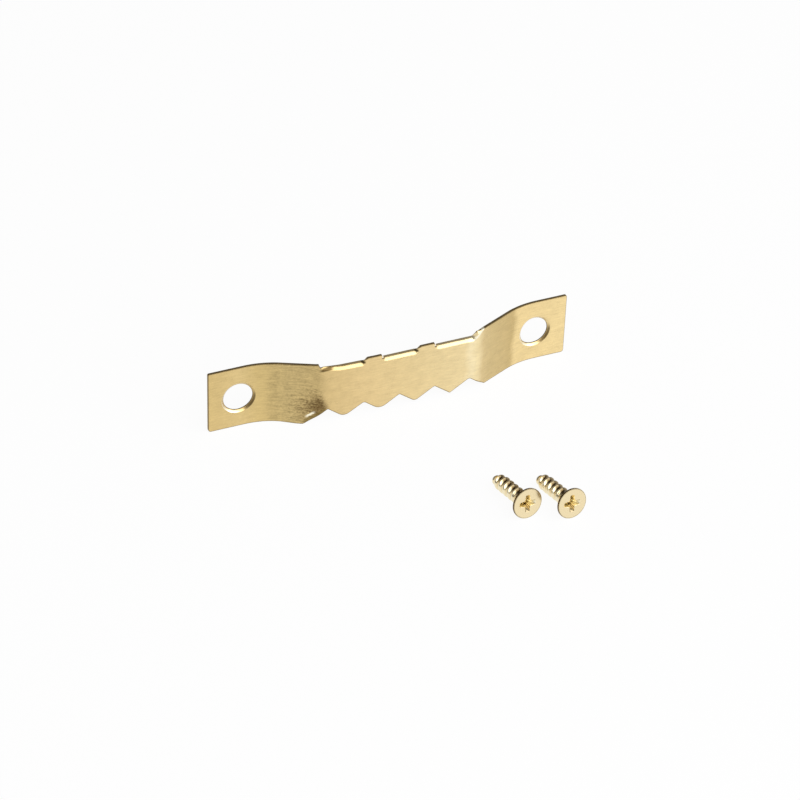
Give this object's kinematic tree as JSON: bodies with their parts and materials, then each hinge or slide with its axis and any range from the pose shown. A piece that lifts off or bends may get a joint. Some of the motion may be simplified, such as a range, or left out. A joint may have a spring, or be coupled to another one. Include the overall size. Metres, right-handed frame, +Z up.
{
  "type": "sawtooth hanger",
  "caption": "Pressed brass-plated strip with bevelled holes in its end tabs, a raised deck with saw notches below and a turned edge above, and its loose countersunk screws.",
  "frame": {"origin": "midway between the two screw holes, on the flat back of the end tabs", "axes": "+X along the strip, +Y into the frame that the hanger is screwed to, +Z up; the strip stands on its lower edge and the screws lie in front of it, on the same surface"},
  "size_m": [0.0604, 0.0394, 0.011],
  "materials": {
    "plated_sheet": "pale brass plating on pressed steel sheet, faintly brushed, with darker sheared edges",
    "plated_screw": "polished pale brass plating"
  },
  "bodies": {
    "strip": {"hanger_strip": "plated_sheet"},
    "left_screw": {"left_screw": "plated_screw"},
    "right_screw": {"right_screw": "plated_screw"}
  },
  "joints": [
    {"name": "left_screw_lift", "type": "slide", "parent": "strip", "child": "left_screw", "axis": [0, 0, 1], "range_m": [0, 0.02]},
    {"name": "right_screw_lift", "type": "slide", "parent": "strip", "child": "right_screw", "axis": [0, 0, 1], "range_m": [0, 0.02]}
  ]
}
